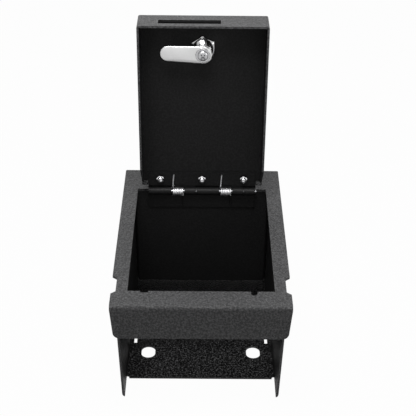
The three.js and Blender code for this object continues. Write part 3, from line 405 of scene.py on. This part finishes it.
def soften(piece, edge, steps):
    """Rounds every sharp edge of a piece by a bevel, and keeps its flats looking flat."""
    bevel = piece.modifiers.new("soft_edges", "BEVEL")
    bevel.width = edge * MM
    bevel.segments = steps
    bevel.limit_method = "ANGLE"
    bevel.angle_limit = EDGE_ANGLE
    bevel.harden_normals = True
    piece.data.shade_smooth()
    flats = piece.modifiers.new("flat_faces", "WEIGHTED_NORMAL")
    flats.keep_sharp = True
    flats.weight = FLAT_WEIGHT
    return piece


def from_node(name, node, edge, *materials, choose=None, steps=BEVEL_STEPS):
    """A copy of a CAD node's mesh with its facets merged and its edges softened.
    Choose gives the material's number from a face's middle and normal."""
    mesh = frame["nodes"][node].data.copy()
    mesh.name = name
    work = bmesh.new()
    work.from_mesh(mesh)
    bmesh.ops.remove_doubles(work, verts=work.verts, dist=CAD_MERGE)
    bmesh.ops.dissolve_limit(work, angle_limit=FLAT_ANGLE, verts=work.verts, edges=work.edges)
    work.to_mesh(mesh)
    work.free()
    mesh.materials.clear()
    for material in materials:
        mesh.materials.append(material)
    for face in mesh.polygons:
        face.material_index = choose(face.center, face.normal) if choose else 0
    piece = bpy.data.objects.new(name, mesh)
    bpy.context.scene.collection.objects.link(piece)
    return soften(piece, edge, steps)


print("edges sharper than", round(math.degrees(EDGE_ANGLE)), "degrees get a bevel")

# %% [markdown]
# ## The bent sheets
# The rim with its apron, the folded shell, the back wall, the strike and the lid's pan all come
# from sheet of 2 to 2.4 mm. Each face is told whether it carries the outer coat, the thin inner one,
# which is painted far darker as painted shade, or the floor's coarse one. A face belongs to the
# inside if it looks towards the middle of the box, or into the hollow of the lid.

# %% Which faces lie inside
TILT = 0.5
RIM_HEIGHT = 112 * MM
FLOOR_TOP = 4 * MM
SLOT_MIDDLE = -12.8 * MM
SLOT_REACH = 30 * MM
SLOT_LOW = -14.5 * MM
SLOT_HIGH = -3 * MM


def inside_box(middle, normal):
    """1 for the inner faces of the walls, 2 for the floor's upper face."""
    towards_middle = normal.x * middle.x < 0 and abs(normal.x) > TILT
    towards_front = normal.y < -TILT and middle.y > 0
    if normal.z > TILT and middle.z < FLOOR_TOP:
        return 2
    return int(middle.z < RIM_HEIGHT and (towards_middle or towards_front))


def inside_lid(middle, normal):
    """1 for the hollow side of the panel and flanges and for the cam's slot, found with the lid shut."""
    back = lid_place.inverted()
    place = back @ middle
    look = back.to_3x3() @ normal
    towards_middle = look.x * place.x < 0 and abs(look.x) > TILT
    downwards = look.z < -TILT and place.z > 0
    backwards = look.y > TILT and place.y < lock_offset
    in_front = place.y < lock_offset and abs(look.y) < TILT
    in_slot = in_front and SLOT_LOW < place.z < SLOT_HIGH and abs(place.x - SLOT_MIDDLE) < SLOT_REACH
    return int(towards_middle or downwards or backwards or in_slot)


print("the walls are inside below", round(RIM_HEIGHT / MM), "mm, the floor below", round(FLOOR_TOP / MM))

# %% Rim, shell, back wall, strike and lid
# Name, CAD node, body, edge in millimetres and the choice of coats
SHEETS = (
    ("folded_rim", "top_frame", "vault", 0.5, None),
    ("folded_shell", "body_shell", "vault", 0.4, inside_box),
    ("rear_plate", "back_wall", "vault", 0.4, inside_box),
    ("strike_angle", "lock_strike", "vault", 0.35, None),
    ("lid_pan", "lid_panel", "lid", 0.45, inside_lid),
)
for name, node, body, edge, choose in SHEETS:
    sheet = from_node(name, node, edge, coat, inner_shaded_coat, floor_painted_light_coat, choose=choose)
    dress(sheet, body, "powder_coat", node)
    inner = sum(face.material_index == 1 for face in sheet.data.polygons)
    print(name, "has", len(sheet.data.polygons), "faces before its bevel,", inner, "of them inside")

# %% [markdown]
# ## The hinge
# Two leaves are rolled round one pin, in turns, so that neither can slide off. Each leaf is cut away
# where the other's knuckles and the springs run. The pin is a plain rod whose right end stands out
# a little, chamfered so that it can be driven in.

# %% Leaves
LEAF_EDGE = 0.25
SMALL_BEVEL_STEPS = 2
LEAVES = (("vault_leaf", "hinge_body_leaf", "vault"), ("lid_leaf", "hinge_lid_leaf", "lid"))
for name, node, body in LEAVES:
    leaf = from_node(name, node, LEAF_EDGE, leaf_coat, steps=SMALL_BEVEL_STEPS)
    dress(leaf, body, "leaf_paint", node)
    print(name, "has", len(leaf.data.polygons), "faces before its bevel")

# %% [markdown]
# ## Turned and swept metal
# Pins, barrels, bolt heads and washers are all round, so they come from half profiles that are spun
# about an axis. A row of rings joined by quads is all that it takes. The same row makes the wire
# of the springs, when its rings follow a path instead of an axis, and a screw thread, when the
# radius of each ring rises and falls once for every turn.

# %% Rings joined into a skin
SKIN_MERGE = 0.001 * MM


def skin(name, rings, material, place, closed_ends=True):
    """A mesh from rings of points, each joined to the next by quads, with its ends closed."""
    work = bmesh.new()
    loops = [[work.verts.new(place @ Vector(point)) for point in ring] for ring in rings]
    sides = len(loops[0])
    for lower, upper in zip(loops, loops[1:]):
        for i in range(sides):
            j = (i + 1) % sides
            work.faces.new((lower[i], lower[j], upper[j], upper[i]))
    if closed_ends:
        work.faces.new(list(reversed(loops[0])))
        work.faces.new(loops[-1])
    bmesh.ops.recalc_face_normals(work, faces=work.faces)
    mesh = bpy.data.meshes.new(name)
    work.to_mesh(mesh)
    work.free()
    mesh.materials.append(material)
    piece = bpy.data.objects.new(name, mesh)
    bpy.context.scene.collection.objects.link(piece)
    return piece


def circle(radius, height, steps):
    """A ring of points round the z axis. Radius may be a number or a function of the angle."""
    points = []
    for step in range(steps):
        angle = 2 * math.pi * step / steps
        reach = radius(angle) if callable(radius) else radius
        points.append((reach * math.cos(angle) * MM, reach * math.sin(angle) * MM, height * MM))
    return points


def profile_rings(profile, steps):
    """Rings from a half profile, listed as (radius, height) in millimetres."""
    return [circle(radius, height, steps) for radius, height in profile]


def smooth(piece, sharp):
    """Smooths a piece's shading over all but its sharp edges."""
    piece.data.shade_smooth()
    piece.data.set_sharp_from_angle(angle=sharp)
    return piece


def seal(piece, sharp):
    """Merges the points where a skin closes on itself, then smooths it."""
    work = bmesh.new()
    work.from_mesh(piece.data)
    bmesh.ops.remove_doubles(work, verts=work.verts, dist=SKIN_MERGE)
    bmesh.ops.recalc_face_normals(work, faces=work.faces)
    work.to_mesh(piece.data)
    work.free()
    return smooth(piece, sharp)


print("skins merge points that lie within", round(SKIN_MERGE / MM, 4), "mm")

# %% Hinge pin
PIN_RADIUS = 1.5
HINGE_HALF = 53.75
PIN_TIP = 1.6
PIN_CHAMFER = 0.6
TIP_NARROWING = 0.21
TIP_RISE = 0.36
PIN_STEPS = 32
pin_end = HINGE_HALF + PIN_TIP
along_pin = hinge_place @ Matrix.Rotation(math.radians(90), 4, "Y")
pin_profile = [
    (PIN_RADIUS - PIN_CHAMFER, -HINGE_HALF),
    (PIN_RADIUS, -HINGE_HALF + PIN_CHAMFER),
    (PIN_RADIUS, pin_end - PIN_CHAMFER),
    (PIN_RADIUS - TIP_NARROWING, pin_end - PIN_CHAMFER + TIP_RISE),
    (PIN_RADIUS - PIN_CHAMFER, pin_end),
]
pin = smooth(skin("pin_rod", profile_rings(pin_profile, PIN_STEPS), pin_steel, along_pin), EDGE_ANGLE)
dress(pin, "vault", "pin_steel", "hinge_pin")
print("the pin is", round(HINGE_HALF + pin_end, 1), "mm long and has", len(pin.data.polygons), "faces")

# %% [markdown]
# ## The torsion springs
# Each spring is one length of wire. It comes up the vault's leaf, winds six times round the pin from
# right to left and goes up the lid's leaf, which it pushes open. The path is a formula: a leg, a
# helix, a leg. Corner cutting then rounds the two bends, as a wire bender's pins would.
# The coil is wider than the pin, so it hangs a little low on it. Below the coil, the wire on the
# vault's side takes the black leaf coat.
# When the lid shuts, the vault's leg must stay and the lid's leg must turn, and the helix takes up
# the turn bit by bit along the pin.

# %% The path of a spring
COIL_RADIUS = 3.5
COIL_SAG = (-0.2, -0.55)
COIL_TURNS = 6
TURN_STEPS = 28
LEG_REACH = 17.2
LEG_DEPTH = 1.6
LEG_BEND = 6.0
LEG_SLANT = 1.2
LEG_TURN = math.radians(20)


def spring_path(right, left):
    """Points in millimetres, from the end of the vault's leg to the end of the lid's leg."""
    lean = OPEN_ANGLE - math.pi / 2
    points = [Vector((right, LEG_DEPTH, -LEG_REACH)), Vector((right, LEG_DEPTH, -LEG_BEND))]
    steps = COIL_TURNS * TURN_STEPS
    for step in range(steps + 1):
        share = step / steps
        angle = -LEG_TURN + share * (2 * math.pi * COIL_TURNS + 2 * LEG_TURN)
        across = right + (left - right) * share
        points.append(Vector((across, COIL_SAG[0] + COIL_RADIUS * math.cos(angle),
                              COIL_SAG[1] + COIL_RADIUS * math.sin(angle))))
    for reach, aside in ((LEG_BEND, 0), (LEG_REACH, LEG_SLANT)):
        points.append(Vector((left + aside, LEG_DEPTH * math.cos(lean) + reach * math.sin(lean),
                              reach * math.cos(lean) - LEG_DEPTH * math.sin(lean))))
    return points


print("the helix has", COIL_TURNS, "turns of", TURN_STEPS, "steps")

# %% Rounded corners and rings of wire
CORNER_CUT = 0.25
CORNER_PASSES = 2
WIRE_RADIUS = 0.85
WIRE_SIDES = 12


def corners_cut(points):
    """Rounds a path. Each pass replaces a corner by two points a quarter of the way in."""
    for _ in range(CORNER_PASSES):
        cut = [points[0]]
        for first, second in zip(points, points[1:]):
            cut.append(first.lerp(second, CORNER_CUT))
            cut.append(first.lerp(second, 1 - CORNER_CUT))
        cut.append(points[-1])
        points = cut
    return points


def wire_rings(points):
    """Rings of a wire along a path. Each ring's frame is turned over from the one before it."""
    ahead = (points[1] - points[0]).normalized()
    side = ahead.orthogonal().normalized()
    rings = []
    for i, point in enumerate(points):
        before = points[max(i - 1, 0)]
        after = points[min(i + 1, len(points) - 1)]
        onward = (after - before).normalized()
        side = ahead.rotation_difference(onward) @ side
        ahead = onward
        other = ahead.cross(side)
        ring = []
        for step in range(WIRE_SIDES):
            angle = 2 * math.pi * step / WIRE_SIDES
            along_side = side * WIRE_RADIUS * math.cos(angle)
            along_other = other * WIRE_RADIUS * math.sin(angle)
            ring.append((point + along_side + along_other) * MM)
        rings.append(ring)
    return rings


print("the wire is", 2 * WIRE_RADIUS, "mm thick and has", WIRE_SIDES, "sides")

# %% Two springs
WIRE_EDGE_ANGLE = math.radians(60)
END_GAP = 0.3
LEAF_COAT_BELOW = 5.2
# Side and where the coil begins and ends along the pin, in millimetres
COIL_SPANS = (("left", -30.75, -17.95), ("right", 17.65, 30.45))
for side, span_left, span_right in COIL_SPANS:
    right_end = span_right - END_GAP - WIRE_RADIUS
    left_end = span_left + END_GAP + WIRE_RADIUS
    path = corners_cut(spring_path(right_end, left_end))
    spring = skin(f"wound_spring_{side}", wire_rings(path), spring_wire, hinge_place)
    spring.data.materials.append(leaf_coat)
    # below the coil the wire on the vault's side takes the black leaf coat
    for face in spring.data.polygons:
        face.material_index = int(face.center.z < pin_middle.z - LEAF_COAT_BELOW * MM)
    smooth(spring, WIRE_EDGE_ANGLE)
    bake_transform(spring)
    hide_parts(f"spring_{side}")
    length = sum((b - a).length for a, b in zip(path, path[1:]))
    print("spring", side, "takes", round(length), "mm of wire and has", len(spring.data.polygons), "faces")

# %% [markdown]
# ## Screw threads
# A thread is a ridge that climbs by one pitch in each turn. On a grid of rings that needs no boolean
# cut: the radius at an angle and a height follows a saw of that angle and height. Where a barrel has
# flats, the points that would lie beyond them are pulled in, just as a mill would leave the crests.

# %% A threaded rod
RINGS_PER_TURN = 6


def threaded(radius, pitch, depth, flats=None):
    """A function of height that gives a function of the angle: the thread's radius there."""
    def at_height(height):
        def at_angle(angle):
            climb = (height / pitch - angle / (2 * math.pi)) % 1.0
            reach = radius - depth * abs(2 * climb - 1)
            if flats and abs(reach * math.cos(angle)) > flats / 2:
                reach = flats / 2 / abs(math.cos(angle))
            return reach
        return at_angle
    return at_height


def thread_rings(radius, pitch, depth, low, high, steps, flats=None):
    """Rings of a threaded rod from one height to another, both ends chamfered."""
    thread = threaded(radius, pitch, depth, flats)
    worn = threaded(radius - depth, pitch, depth, flats)
    count = round((high - low) / pitch * RINGS_PER_TURN)
    rings = [circle(worn(low), low, steps)]
    for i in range(1, count):
        height = low + (high - low) * i / count
        rings.append(circle(thread(height), height, steps))
    rings.append(circle(worn(high), high, steps))
    return rings


print("a thread has", RINGS_PER_TURN, "rings to each turn")

# %% [markdown]
# ## Hexagon nuts
# A nut starts as a hexagonal bar whose corners are turned off at 30 degrees, which leaves the round
# face and the curved upper edge of each flat. Sampled by angle, the bar's radius rises towards each
# corner, and the chamfer's height follows from it, so both come out of one short function.

# %% A chamfered nut
HEX_SIDES = 6
CHAMFER_SLOPE = math.tan(math.radians(30))
NUT_STEPS = 96
NUT_EDGE_ANGLE = math.radians(22)
CHAMFER_LEAST = math.cos(math.radians(38))
CHAMFER_MOST = math.cos(math.radians(18))
BORE_SINK = 0.14


def hex_nut(name, flats, low, high, bore, face_share, turn, material, place):
    """A hexagon nut between two heights in millimetres, with a countersunk bore."""
    half = flats / 2
    face = half * face_share
    wedge = math.pi / HEX_SIDES

    def bar_ring(height, away):
        """The bar's outline. Away is the side to which the chamfer falls off: 1 up, -1 down."""
        points = []
        for step in range(NUT_STEPS):
            angle = 2 * math.pi * step / NUT_STEPS
            reach = half / math.cos((angle - turn) % (2 * wedge) - wedge)
            level = height + away * max(0.0, reach - face) * CHAMFER_SLOPE
            points.append((reach * math.cos(angle) * MM, reach * math.sin(angle) * MM, level * MM))
        return points

    sink = (high - low) * BORE_SINK
    rings = [
        circle(bore, low + sink, NUT_STEPS),
        circle(bore + sink, low, NUT_STEPS),
        circle(face, low, NUT_STEPS),
        bar_ring(low, 1),
        bar_ring(high, -1),
        circle(face, high, NUT_STEPS),
        circle(bore + sink, high, NUT_STEPS),
        circle(bore, high - sink, NUT_STEPS),
        circle(bore, low + sink, NUT_STEPS),
    ]
    return seal(skin(name, rings, material, place, closed_ends=False), NUT_EDGE_ANGLE)


def painted_chamfer_highlight(nut, place, bright):
    """Gives the turned faces of a nut, which slope as the chamfer does, the bright metal, a painted
    highlight.
    """
    nut.data.materials.append(bright)
    back = place.to_3x3().inverted()
    for face in nut.data.polygons:
        slope = abs((back @ face.normal).z)
        face.material_index = int(CHAMFER_LEAST < slope < CHAMFER_MOST)


print("a nut's ring has", NUT_STEPS, "points")

# %% [markdown]
# ## The lid's three bolts
# Round-headed bolts come through the lid from outside, so that nothing there can be gripped or
# undone while it is shut. Each has a domed head, a plain shank and a thread that ends just past its
# nut. No two nuts stop at the same angle when they are tightened, so each has a turn of its own.

# %% A bolt's rings
BOLT_RADIUS = 2.0
BOLT_PITCH = 0.7
BOLT_STEPS = 36
BOLT_SEAT = 6.4
BOLT_END = -2.5
FILLET = 0.3
THREAD_SHARE = 0.54
NUT_TOP = 2.3
SHANK_ABOVE_NUT = 1.0
HEAD_RADIUS = 4.2
HEAD_HEIGHT = 2.2
HEAD_RIM = 0.25
HEAD_EYE = 0.084
DOME_STEPS = 8


def dome(radius, low, height, rim, eye, steps):
    """The profile of a domed head. Rim is the upright edge's share of the height, and eye is the
    radius of the small flat in the middle."""
    points = []
    for step in range(steps):
        angle = math.radians(90) * step / steps
        points.append((radius * math.cos(angle), low + height * (rim + (1 - rim) * math.sin(angle))))
    points.append((eye, low + height))
    return points


def bolt_rings():
    """A bolt's rings: the thread, the plain shank and the domed head."""
    depth = BOLT_PITCH * THREAD_SHARE
    shank_start = NUT_TOP + SHANK_ABOVE_NUT
    rings = thread_rings(BOLT_RADIUS, BOLT_PITCH, depth, BOLT_END, shank_start, BOLT_STEPS)
    profile = [
        (BOLT_RADIUS, shank_start + depth),
        (BOLT_RADIUS, BOLT_SEAT - FILLET),
        (BOLT_RADIUS + FILLET, BOLT_SEAT),
        (HEAD_RADIUS, BOLT_SEAT),
    ]
    profile += dome(HEAD_RADIUS, BOLT_SEAT, HEAD_HEIGHT, HEAD_RIM, HEAD_EYE, DOME_STEPS)
    return rings + profile_rings(profile, BOLT_STEPS)


print("a bolt is", round(BOLT_SEAT + HEAD_HEIGHT - BOLT_END, 1), "mm long")

# %% Bolts and nuts
THREAD_EDGE_ANGLE = math.radians(35)
BOLT_OFFSET = -12.9
NUT_HEIGHT = 3.2
NUT_FLATS = 7.0
NUT_FACE = 0.82
NUT_PLAY = 0.05
# Side, place across the lid in millimetres and the nut's turn in degrees
FASTENERS = (("left", -42, 16), ("middle", 0, 30), ("right", 42, 24))
for side, across, turn in FASTENERS:
    place = lid_place @ Matrix.Translation((across * MM, BOLT_OFFSET * MM, 0))
    bolt = smooth(skin(f"bolt_{side}", bolt_rings(), bolt_plate, place), THREAD_EDGE_ANGLE)
    dress(bolt, "lid", "bolt_zinc", f"hinge_bolt_{side}")
    nut = hex_nut(f"nut_{side}", NUT_FLATS, NUT_TOP - NUT_HEIGHT, NUT_TOP, BOLT_RADIUS + NUT_PLAY,
                  NUT_FACE, math.radians(turn), nut_painted_dark_reflection, place)
    # painted highlight: the chamfer faces take the bright bolt plate
    painted_chamfer_highlight(nut, place, bolt_plate)
    dress(nut, "lid", "bolt_zinc", f"hinge_nut_{side}")
    print("bolt and nut", side, "have", len(bolt.data.polygons), "and", len(nut.data.polygons), "faces")

# %% [markdown]
# ## The lock's barrel, nut and plug
# A cam lock is a threaded barrel with two flats, pushed through the lid from outside up to its round
# head and held by one large nut. In it turns the plug, whose outer face has the keyway and whose
# inner end is a square stub for the cam.

# %% Barrel
BARREL_RADIUS = 9.4
BARREL_PITCH = 1.0
BARREL_FLATS = 16.2
BARREL_LOW = -13.3
BARREL_STEPS = 120
LID_OUTSIDE = 6.4
LOCK_HEAD_RADIUS = 11.2
LOCK_HEAD_HEIGHT = 2.6
LOCK_HEAD_BEVEL = 1.3
LOCK_HEAD_CURVE = 0.39
THREAD_RELIEF = 0.1
BORE_RADIUS = 6.5
BORE_BEVEL = 0.3
depth = BARREL_PITCH * THREAD_SHARE
barrel_rings = thread_rings(BARREL_RADIUS, BARREL_PITCH, depth, BARREL_LOW, LID_OUTSIDE - THREAD_RELIEF,
                            BARREL_STEPS, flats=BARREL_FLATS)
head_top = LID_OUTSIDE + LOCK_HEAD_HEIGHT
head_profile = [
    (LOCK_HEAD_RADIUS - BORE_BEVEL, LID_OUTSIDE),
    (LOCK_HEAD_RADIUS, LID_OUTSIDE + BORE_BEVEL),
    (LOCK_HEAD_RADIUS, head_top - LOCK_HEAD_BEVEL),
    (LOCK_HEAD_RADIUS - LOCK_HEAD_CURVE, head_top - LOCK_HEAD_CURVE),
    (LOCK_HEAD_RADIUS - LOCK_HEAD_BEVEL, head_top),
    (BORE_RADIUS + BORE_BEVEL, head_top),
    (BORE_RADIUS, head_top - BORE_BEVEL),
    (BORE_RADIUS, BARREL_LOW + BORE_BEVEL),
    (BORE_RADIUS + BORE_BEVEL, BARREL_LOW),
]
barrel_rings += profile_rings(head_profile, BARREL_STEPS)
barrel = skin("lock_barrel", barrel_rings + barrel_rings[:1], lock_chrome, lock_place, closed_ends=False)
dress(seal(barrel, THREAD_EDGE_ANGLE), "lid", "lock_chrome", "lock_housing")
print("the barrel has", len(barrel.data.polygons), "faces")

# %% The lock's nut
LOCK_NUT_FLATS = 22.0
LOCK_NUT_LOW = 0.2
LOCK_NUT_HIGH = 4.0
LOCK_NUT_FACE = 0.965
LOCK_NUT_PLAY = 0.1
LOCK_NUT_TURN = math.radians(26)
lock_nut = hex_nut("barrel_nut", LOCK_NUT_FLATS, LOCK_NUT_LOW, LOCK_NUT_HIGH,
                   BARREL_RADIUS + LOCK_NUT_PLAY, LOCK_NUT_FACE, LOCK_NUT_TURN, lock_chrome, lock_place)
dress(lock_nut, "lid", "lock_chrome", "lock_nut")
print("the lock's nut has", len(lock_nut.data.polygons), "faces")

# %% [markdown]
# ## The plug, cam, washer and screw
# These four turn together. The plug's keyway and square stub are flat cuts, so the CAD's own mesh
# with softened edges shows them well. The cam is punched from sheet: its upper edge is drawn in
# smooth, its lower edge breaks out, and tumbling rounds both. The screw has a cross-shaped recess
# that narrows towards its bottom, so that a driver wedges in it.

# %% Plug
PLUG_EDGE = 0.15
plug = from_node("keyed_plug", "lock_plug", PLUG_EDGE, lock_chrome, steps=SMALL_BEVEL_STEPS)
dress(plug, "lock_core", "lock_chrome", "lock_plug")
print("the plug has", len(plug.data.polygons), "faces before its bevel")

# %% The cam's outline
CAM_SPAN = 33.2
CAM_HUB = 8.4
CAM_TIP = 7.3
ARC_STEPS = 40


def cam_outline(shrink=0.0):
    """The cam's outline in millimetres: the hub's arc, then the tip's."""
    flare = math.asin((CAM_HUB - CAM_TIP) / CAM_SPAN)
    points = []
    hub = CAM_HUB - shrink
    tip = CAM_TIP - shrink
    for step in range(ARC_STEPS + 1):
        angle = -math.pi / 2 - flare + (math.pi + 2 * flare) * step / ARC_STEPS
        points.append((hub * math.cos(angle), hub * math.sin(angle)))
    for step in range(ARC_STEPS + 1):
        angle = math.pi / 2 + flare + (math.pi - 2 * flare) * step / ARC_STEPS
        points.append((-CAM_SPAN + tip * math.cos(angle), tip * math.sin(angle)))
    return points


def square_outline(like, side):
    """As many points as the outline has, on a square, each in the direction of its partner."""
    half = side / 2
    points = []
    for index in range(len(like)):
        angle = 2 * math.pi * index / len(like) - math.pi / 2
        reach = half / max(abs(math.cos(angle)), abs(math.sin(angle)))
        points.append((reach * math.cos(angle), reach * math.sin(angle)))
    return points


def flat_ring(outline, height):
    """A ring of points in metres from an outline in millimetres."""
    return [(x * MM, y * MM, height * MM) for x, y in outline]


print("the cam is", round(CAM_HUB + CAM_SPAN + CAM_TIP, 1), "mm long")

# %% Cam blade
CAM_LOW = -16.1
CAM_HIGH = -13.7
CAM_SQUARE = 8.1
CAM_EDGE = 0.45
CAM_EDGE_ANGLE = math.radians(50)
# How far each ring of a rounded edge lies inside the outline, as a share of the edge
EDGE_SHARES = (1.0, 0.3, 0.0)
EDGE_DEPTH = 0.8
square = square_outline(cam_outline(), CAM_SQUARE)
cam_rings = [flat_ring(square, CAM_HIGH), flat_ring(square, CAM_LOW)]
for level, inward, shares in ((CAM_LOW, 1, EDGE_SHARES), (CAM_HIGH, -1, EDGE_SHARES[::-1])):
    for share in shares:
        height = level + inward * CAM_EDGE * (1 - share) * EDGE_DEPTH
        cam_rings.append(flat_ring(cam_outline(CAM_EDGE * share), height))
cam_rings.append(cam_rings[0])
cam = skin("cam_blade", cam_rings, cam_plate, cam_place, closed_ends=False)
dress(seal(cam, CAM_EDGE_ANGLE), "lock_core", "cam_steel", "lock_cam")
print("the cam has", len(cam.data.polygons), "faces")

# %% Washer
WASHER_HIGH = -16.3
WASHER_LOW = -17.3
WASHER_RADIUS = 7.0
WASHER_BEVEL = 0.3
WASHER_STEPS = 72
SCREW_BORE = 2.3
washer_profile = [
    (SCREW_BORE, WASHER_LOW),
    (WASHER_RADIUS - WASHER_BEVEL, WASHER_LOW),
    (WASHER_RADIUS, WASHER_LOW + WASHER_BEVEL),
    (WASHER_RADIUS, WASHER_HIGH),
    (SCREW_BORE, WASHER_HIGH),
    (SCREW_BORE, WASHER_LOW),
]
washer_rings = profile_rings(washer_profile, WASHER_STEPS)
washer = skin("flat_washer", washer_rings, washer_plate, cam_place, closed_ends=False)
dress(seal(washer, EDGE_ANGLE), "lock_core", "cam_steel", "cam_washer")
print("the washer has", len(washer.data.polygons), "faces")

# %% The screw's rings
SCREW_SEAT = -17.5
SCREW_HEAD_RADIUS = 4.9
SCREW_HEAD_HEIGHT = 3.0
SCREW_RADIUS = 2.0
SCREW_PITCH = 0.7
SCREW_END = -10.5
SCREW_STEPS = 96
SCREW_RELIEF = 0.4
SCREW_SEAT_SHARE = 0.94
SCREW_SEAT_BEVEL = 0.2
SCREW_RIM = 0.3
SCREW_EYE = 0.02
SCREW_DOME_STEPS = 15


def screw_rings():
    """A screw's rings from its thread's end down to the middle of its domed head."""
    depth = SCREW_PITCH * THREAD_SHARE
    start = SCREW_SEAT + SCREW_RELIEF
    thread = thread_rings(SCREW_RADIUS, SCREW_PITCH, depth, start, SCREW_END, SCREW_STEPS)
    profile = [
        (SCREW_RADIUS, SCREW_SEAT),
        (SCREW_HEAD_RADIUS / 2, SCREW_SEAT),
        (SCREW_HEAD_RADIUS * SCREW_SEAT_SHARE, SCREW_SEAT),
        (SCREW_HEAD_RADIUS, SCREW_SEAT - SCREW_SEAT_BEVEL),
    ]
    profile += dome(SCREW_HEAD_RADIUS, SCREW_SEAT, -SCREW_HEAD_HEIGHT, SCREW_RIM, SCREW_EYE,
                    SCREW_DOME_STEPS)
    return thread[::-1] + profile_rings(profile, SCREW_STEPS)


print("the screw is", round(SCREW_END - SCREW_SEAT + SCREW_HEAD_HEIGHT, 1), "mm long")

# %% The driver's tip
CROSS_REACH = 2.7
CROSS_WIDTH = 1.25
CROSS_DEPTH = 1.9
CROSS_TURN = math.radians(45)
TIP_LIFT = 0.5
TIP_FLARE = 1.12
TIP_REACH_SHARE = 0.5
TIP_WIDTH_SHARE = 0.6


def cross_outline(reach, width):
    """A plus sign of twelve corners."""
    half = width / 2
    corner = [(reach, -half), (reach, half), (half, half)]
    points = []
    for quarter in range(4):
        spin = Matrix.Rotation(quarter * math.pi / 2 + CROSS_TURN, 2)
        points += [spin @ Vector(point) for point in corner]
    return points


head_end = SCREW_SEAT - SCREW_HEAD_HEIGHT
tip_rings = [
    flat_ring(cross_outline(CROSS_REACH * TIP_FLARE, CROSS_WIDTH * TIP_FLARE), head_end - TIP_LIFT),
    flat_ring(cross_outline(CROSS_REACH * TIP_REACH_SHARE, CROSS_WIDTH * TIP_WIDTH_SHARE),
              head_end + CROSS_DEPTH),
]
cutter = skin("driver_tip", tip_rings, washer_plate, cam_place)
print("the recess is", CROSS_DEPTH, "mm deep")

# %% Screw with its recess
screw = skin("cross_screw", screw_rings(), washer_plate, cam_place)
cut = screw.modifiers.new("cross_recess", "BOOLEAN")
cut.operation = "DIFFERENCE"
cut.solver = "EXACT"
cut.use_self = True
cut.object = cutter
bpy.context.view_layer.update()
cut_mesh = bpy.data.meshes.new_from_object(screw.evaluated_get(bpy.context.evaluated_depsgraph_get()))
screw.modifiers.clear()
screw.data = cut_mesh
bpy.data.objects.remove(cutter)
dress(smooth(screw, EDGE_ANGLE), "lock_core", "bolt_zinc", "cam_screw")
print("the screw has", len(screw.data.polygons), "faces")
